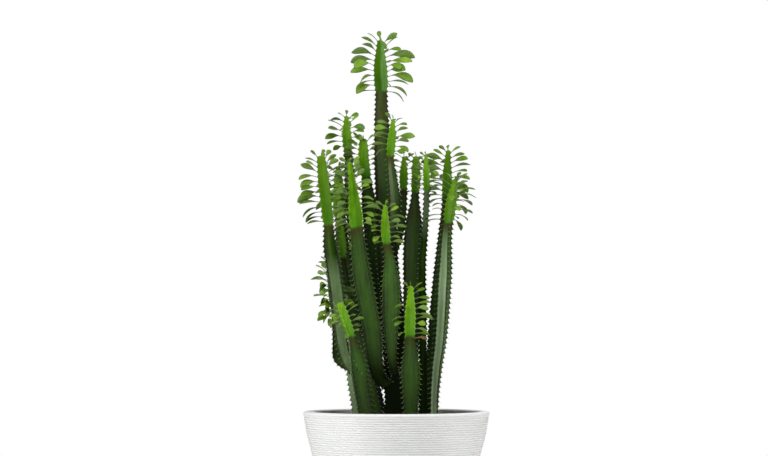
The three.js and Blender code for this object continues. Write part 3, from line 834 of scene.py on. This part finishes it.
# Painted shade on the old wings, towards their edges.
old = mixed(ramp(wing, 0.25, 0.6, smooth=True) * rim, old, paint(16, 26, 3))
old = mixed(grey * inside_edge, old, paint(104, 112, 84))
pale_streaks = ramp(streaks, 0.2, 0.7, 1.0, 0.7) * ramp(wing, 0.0, 0.3, 0.7, 1.0)
old = mixed(pale * pale_streaks * inside_edge, old, paint(186, 214, 168))
old = mixed(ramp(wing, 0.78, 0.98, smooth=True) * 0.7, old, paint(90, 104, 68))
band = ramp(brown, -1.0, -0.1, smooth=True) * ramp(growth, 6 * MM, -4 * MM, smooth=True)
old = mixed(band * ramp(patches, 0.25, 0.55) * 0.85, old, paint(60, 54, 26))
# Darker towards the foot of each stem, less so on its pale faces.
darker_foot = ramp(up_stem, 160 * MM, 30 * MM) * ramp(patches, 0.3, 0.6)
old = mixed(darker_foot * (1 - pale) * 0.65, old, paint(34, 34, 18))
old = mixed(shade * ramp(above_floor, 1.0, 0.5), old, paint(15, 26, 3))
change = ramp(growth + (patches - 0.5) * (20 * MM), -6 * MM, 4 * MM, smooth=True)
coat(shader, mixed(change, old, young), height=specks * 0.35 + streaks, depth=0.6 * MM,
     roughness=ramp(patches, 0.3, 0.7, 0.38, 0.55))


def measured(stem):
    """The stem's row with what it lacks, which is shade where it stands behind the others, and
    its centre line and sizes as the recipes take them."""
    halfway = stem["path"][len(stem["path"]) // 2]
    shade = INNER_SHADE if halfway[1] > BEHIND else 0.0
    stem = {**USUAL_STEM, "shade": shade, **stem}
    line = grown_path(stem["path"])
    length = sum((b - a).length for a, b in zip(line, line[1:]))
    sizes = {"length": length, "teeth": round(length / TOOTH_STEP)}
    sizes.update({name: stem[name] * MM for name in LENGTHS})
    sizes.update({name: float(stem[name]) for name in PLAIN_NUMBERS})
    return {**stem, "line": line, "sizes": sizes}


stems = [measured(stem) for stem in stems]
skins = []
for stem in stems:
    pale_from, pale_to = stem["pale_run"]
    piece = winged.make(stem["node"] + "_skin", path_mesh(stem["line"]), notch=stem["notch"] * MM,
                        brown=stem["brown"] * MM, pale=stem["pale"], pale_from=pale_from * MM,
                        pale_to=pale_to * MM, Material=stem_skin,
                        **{name: float(stem[name]) for name in TONES_LIGHT_AND_SHADE}, **stem["sizes"])
    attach(piece, "root")
    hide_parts(stem["node"])
    skins.append(piece)

# --------------------
# Leaves: one thin paddle leaf above each tooth of a crown's wings, on a short narrow stalk. It
# rises, arches over and hangs. A leaf that is short of room has stayed shorter, and one that
# would press into a stem even so has been shed.
LEAF_SIDES = 8
LEAF_ROWS = 10
LEAF_SLIMNESS = 0.155
LEAF_FOLD = 0.22
LEAF_THICKNESS = 0.5 * MM
STALK_WIDTH = 0.75 * MM
STALK_SHARE = 0.12
SIDEWAYS_TURN = 0.45
LOW_RISE = 8
TOP_RISE = 52
RISE_LUCK = 9.0
CLEAR_OF_STEMS = 3.0 * MM
TESTED_SHARES = (0.4, 0.6, 0.8, 1.0)
CRAMPED_LOSS = 0.4
SEEDS_APART = 20

leafy = Recipe("leafy_crown", Leaf=float, Levels=int, Seed=int, Roll=float, Stems="object",
               **SHAPE_INPUTS)


def teeth_in_turn(recipe, levels):
    """A point for each tooth of that many levels, and the point's level and wing."""
    points = recipe.step("Points", Count=levels * WINGS)
    number = recipe.step("InputIndex")
    level = work("FLOOR", number / WINGS + 0.01)
    return points, level, number - level * WINGS


def wing_angle(recipe, share, wing):
    """Where a wing stands round the stem at a share of its length, in radians."""
    turned_by = recipe["turn"] + recipe["twist"] * share
    return (turned_by + wing * WING_ANGLE) * (math.pi / 180)


def leaf_line(share, seat, out, up, reach, rise, curl):
    """A point on the leaf's arching middle line, and the slope there."""
    slope = rise - curl * share
    ahead = (work("SINE", rise) - work("SINE", slope)) * reach / curl
    lifted = (work("COSINE", slope) - work("COSINE", rise)) * reach / curl
    return seat + out * ahead + up * lifted, slope


seats, level, wing = teeth_in_turn(leafy, leafy["Levels"])
length = leafy["length"]
below = length * (level + wing / WINGS) / leafy["teeth"]
share = 1 - below / length
centre, up, across, away = stem_frame(leafy, share)
angle = wing_angle(leafy, share, wing)
wing_out = swung(across, away, angle)
leaf_out = swung(across, away, angle + chance(leafy, 1, -SIDEWAYS_TURN, SIDEWAYS_TURN))
seat = centre + wing_out * (wing_radius(leafy, below) * dome(below))

# Leaves are longest halfway up the crown, and shorter, steeper and straighter at its tip.
height = ramp(below / leafy["crown_length"], 1, 0)
reach = leafy["Leaf"] * (0.74 + 0.3 * work("SINE", height ** 1.4 * math.pi))
reach = reach * (1 - 0.42 * height ** 4) * chance(leafy, 2, 0.88, 1.12)
rise = LOW_RISE + (TOP_RISE - LOW_RISE) * height ** 2.2 + chance(leafy, 3, -RISE_LUCK, RISE_LUCK)
rise = rise * (math.pi / 180)
curl = (0.85 - 0.35 * height ** 2) * chance(leafy, 4, 0.4, 1.6)
lean = chance(leafy, 5, -1.0, 1.0)
roll = leafy["Roll"] * work("SIGN", lean) * (0.2 + 1.1 * abs(lean))
all_stems = leafy.step("ObjectInfo", output="Geometry", Object=leafy["Stems"])


def short_of_room(reach):
    """1 where a leaf of that length would come too near to a stem, and otherwise 0."""
    nearest = None
    for tested in TESTED_SHARES:
        point, _ = leaf_line(tested, seat, leaf_out, up, reach, rise, curl)
        near = leafy.step("Proximity", output="Distance", Geometry=all_stems, Sample_Position=point)
        nearest = near if nearest is None else work("MINIMUM", nearest, near)
    return work("LESS_THAN", nearest, CLEAR_OF_STEMS)


reach = reach * (1 - CRAMPED_LOSS * short_of_room(reach))
seats = leafy.step("SetPosition", Geometry=seats, Position=seat)
seats, caught = leafy.hold(seats, seat=seat, out=leaf_out, up=up, reach=reach, rise=rise,
                           curl=curl, roll=roll, height=height, luck=chance(leafy, 7, 0.0, 1.0),
                           shed=short_of_room(reach))
seats = leafy.step("DeleteGeometry", Geometry=seats, Selection=caught["shed"])

# Each leaf is a rod too, bent along its line and flattened into a stalk and a paddle.
blank, unit_x, unit_y, unit_z = unit_rod(leafy, LEAF_SIDES, LEAF_ROWS)
leaves = leafy.step("InstanceOnPoints", Points=seats, Instance=blank)
leaves = leafy.step("RealizeInstances", Geometry=leaves)
along = 1 - (1 - (unit_z + 0.5)) ** 1.3
point, slope = leaf_line(along, caught["seat"], caught["out"], caught["up"], caught["reach"],
                         caught["rise"], caught["curl"])
side = work("CROSS_PRODUCT", caught["up"], caught["out"])
face = swung(caught["up"], caught["out"], slope * -1)
tilt = caught["roll"] * ramp(along, 0.0, 0.4, smooth=True)
tilted_side = swung(side, face, tilt)
tilted_face = swung(face, side, tilt * -1)
blade = ramp(along, STALK_SHARE, 1.0)
paddle = work("MAXIMUM", work("SINE", blade ** 1.5 * math.pi), 0.0) ** 0.9
end_round = ramp(along, 1.0, 0.985)
half_width = caught["reach"] * LEAF_SLIMNESS * paddle + STALK_WIDTH * end_round
thick = LEAF_THICKNESS + (STALK_WIDTH - LEAF_THICKNESS) * ramp(along, 0.4, 0.2)
fold = abs(unit_x) * half_width * LEAF_FOLD
skin = point + tilted_side * (unit_x * half_width) + tilted_face * (unit_y * thick * end_round + fold)
leaves = leafy.step("SetPosition", Geometry=leaves, Position=skin)
leaves = keep(leafy, leaves, along_leaf=along, across_leaf=abs(unit_x),
              leaf_height=caught["height"], under_leaf=ramp(unit_y, 0.1, -0.1),
              leaf_luck=caught["luck"])
leafy.finish(leafy.smoothed(leafy.closed(leaves)))

leaf_skin, shader = material("paddle_leaf_skin", roughness=0.45, Specular_IOR_Level=0.25)
spot = place(leaf_skin)
luck = stored(leaf_skin, "leaf_luck")
across_leaf = stored(leaf_skin, "across_leaf")
along_leaf = stored(leaf_skin, "along_leaf")
low = ramp(stored(leaf_skin, "leaf_height"), 0.35, 0.0)
midrib = ramp(across_leaf, 0.16, 0.04) * ramp(along_leaf, 0.95, 0.5)
margin = work("MAXIMUM", ramp(across_leaf, 0.8, 1.0), ramp(along_leaf, 0.93, 1.0))
stalk = ramp(along_leaf, 0.4, 0.26)
green = mixed(luck, paint(78, 118, 16), paint(134, 174, 44))
green = mixed(ramp(noise(spot, 160.0), 0.35, 0.7) * 0.5, green, paint(62, 98, 12))
green = mixed(stored(leaf_skin, "under_leaf") * 0.45, green, paint(122, 146, 88))
green = mixed(low * luck * 0.5, green, paint(84, 88, 26))
green = mixed(midrib * 0.4, green, paint(134, 164, 84))
# Darker leaf margins: partly the leaf's own darker rim, partly painted shade.
green = mixed(margin * 0.75, green, paint(56, 74, 26))
green = mixed(stalk * 0.6, green, paint(104, 118, 84))
coat(shader, green, height=noise(spot, 380.0, 2.0) + midrib * 0.5, depth=0.2 * MM,
     roughness=ramp(luck, 0, 1, 0.38, 0.55))

# All stems in one, for the leaves to keep clear of while they are made.
gathering = bmesh.new()
for piece in skins:
    gathering.from_mesh(piece.data)
gathered_stems = bpy.data.objects.new("gathered_stems", bpy.data.meshes.new("gathered_stems"))
gathering.to_mesh(gathered_stems.data)
gathering.free()
scene.collection.objects.link(gathered_stems)

for number, stem in enumerate(stems):
    sizes = stem["sizes"]
    levels = round(sizes["crown_length"] / (sizes["length"] / sizes["teeth"]))
    piece = leafy.make(stem["node"] + "_leaves", path_mesh(stem["line"]), Leaf=stem["leaf"] * MM,
                       Levels=levels, Seed=number * SEEDS_APART + stem["luck"], Roll=stem["roll"],
                       Stems=gathered_stems, Material=leaf_skin, **sizes)
    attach(piece, "root")
bpy.data.objects.remove(gathered_stems)

# --------------------
# Withered leaf: one dry, rolled-up, brown leaf still hangs from the right wing of the front right
# stem, just below its crown.
WITHERED_SIDES = 12
WITHERED_ROWS = 18
UPRIGHT = (0.0, 0.0, 1.0)

withered = Recipe("withered_leaf", Seat="vector", Out="vector", Reach=float, Rise=float,
                  Curl=float, HalfWidth=float, Thickness=float)
blank, unit_x, unit_y, unit_z = unit_rod(withered, WITHERED_SIDES, WITHERED_ROWS)
along = unit_z + 0.5
out = withered["Out"]
point, slope = leaf_line(along, withered["Seat"], out, UPRIGHT, withered["Reach"],
                         withered["Rise"], withered["Curl"])
side = work("CROSS_PRODUCT", UPRIGHT, out)
face = swung(UPRIGHT, out, slope * -1)
swollen = work("SINE", ramp(along, 0.1, 1.0) ** 1.5 * math.pi) + 0.16
half_width = withered["HalfWidth"] * swollen * ramp(along, 1.0, 0.96, 0.1, 1.0)
rolled = abs(unit_x) ** 1.5 * half_width * 1.1
crumpled = work("SINE", along * 17.0 + unit_x * 2.5) * half_width * 0.14
raised = unit_y * withered["Thickness"] + rolled + crumpled
skin = point + side * (unit_x * half_width) + face * raised
body = withered.step("SetPosition", Geometry=blank, Position=skin)
withered.finish(withered.smoothed(body))

dry_leaf, shader = material("dry_leaf", roughness=0.8, Specular_IOR_Level=0.15)
spot = place(dry_leaf)
mottling = ramp(noise(spot, 240.0), 0.35, 0.65)
coat(shader, mixed(mottling, paint(98, 76, 44), paint(152, 124, 82)), height=noise(spot, 500.0),
     depth=0.4 * MM)

piece = withered.make("withered_leaf", path_mesh([(0.0, 0.0, 0.0)]), Material=dry_leaf,
                      Seat=(42.5 * MM, -58 * MM, 494 * MM), Out=(0.94, -0.34, 0.0),
                      Reach=27 * MM, Rise=0.15, Curl=0.7, HalfWidth=5 * MM, Thickness=0.7 * MM)
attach(piece, "root")

# --------------------
# Thorns: a pair of short grey-green thorns on each tooth of the old stems, which spread to both
# sides and droop a little.
THORN_LENGTH = 4.6 * MM
THORN_RADIUS = 0.5 * MM
THORN_SIDES = 5
THORN_SPREAD = 40
THORN_DROOP = 20
THORN_SUNK = 0.4 * MM

thorny = Recipe("thorn_pairs", notch=float, **SHAPE_INPUTS)
teeth = thorny["teeth"]
length = thorny["length"]
old_levels = work("FLOOR", (1 - thorny["crown_length"] / length) * teeth)
tips, level, wing = teeth_in_turn(thorny, old_levels)
share = (level + 1 - wing / WINGS) / teeth
centre, up, across, away = stem_frame(thorny, share)
out = swung(across, away, wing_angle(thorny, share, wing))
standing_out = thorny["notch"] * TOOTH_STANDING - THORN_SUNK
tooth_top = centre + out * (wing_radius(thorny, length * (1 - share)) + standing_out)
tips = thorny.step("SetPosition", Geometry=tips, Position=tooth_top)
facing = thorny.step("FunctionNodeAxesToRotation", Primary_Axis=out, Secondary_Axis=up)
thorn = thorny.step("MeshCone", Vertices=THORN_SIDES, Radius_Top=0.0,
                    Radius_Bottom=THORN_RADIUS, Depth=THORN_LENGTH, Side_Segments=1)
leaning = []
for lean in (-THORN_SPREAD, THORN_SPREAD):
    turn = (math.radians(lean), math.radians(-THORN_DROOP), 0.0)
    leaning.append(thorny.step("Transform", Geometry=thorn, Rotation=turn))
thorns = thorny.step("InstanceOnPoints", Points=tips, Rotation=facing,
                     Instance=thorny.join(*leaning))
thorny.finish(thorns)

thorn_horn, shader = material("thorn_horn", roughness=0.6, Specular_IOR_Level=0.3)
spot = place(thorn_horn)
coat(shader, mixed(noise(spot, 300.0), paint(112, 120, 94), paint(172, 182, 154)),
     height=noise(spot, 900.0), depth=0.1 * MM)

for stem in stems:
    piece = thorny.make(stem["node"] + "_thorns", path_mesh(stem["line"]),
                        notch=stem["notch"] * MM, Material=thorn_horn, **stem["sizes"])
    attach(piece, "root")

# --------------------
# The sizes of the CAD model and of this one, side by side.
sizes = {"cad": [list(corner) for corner in cad_box],
         "visual": [list(corner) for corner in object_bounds()]}
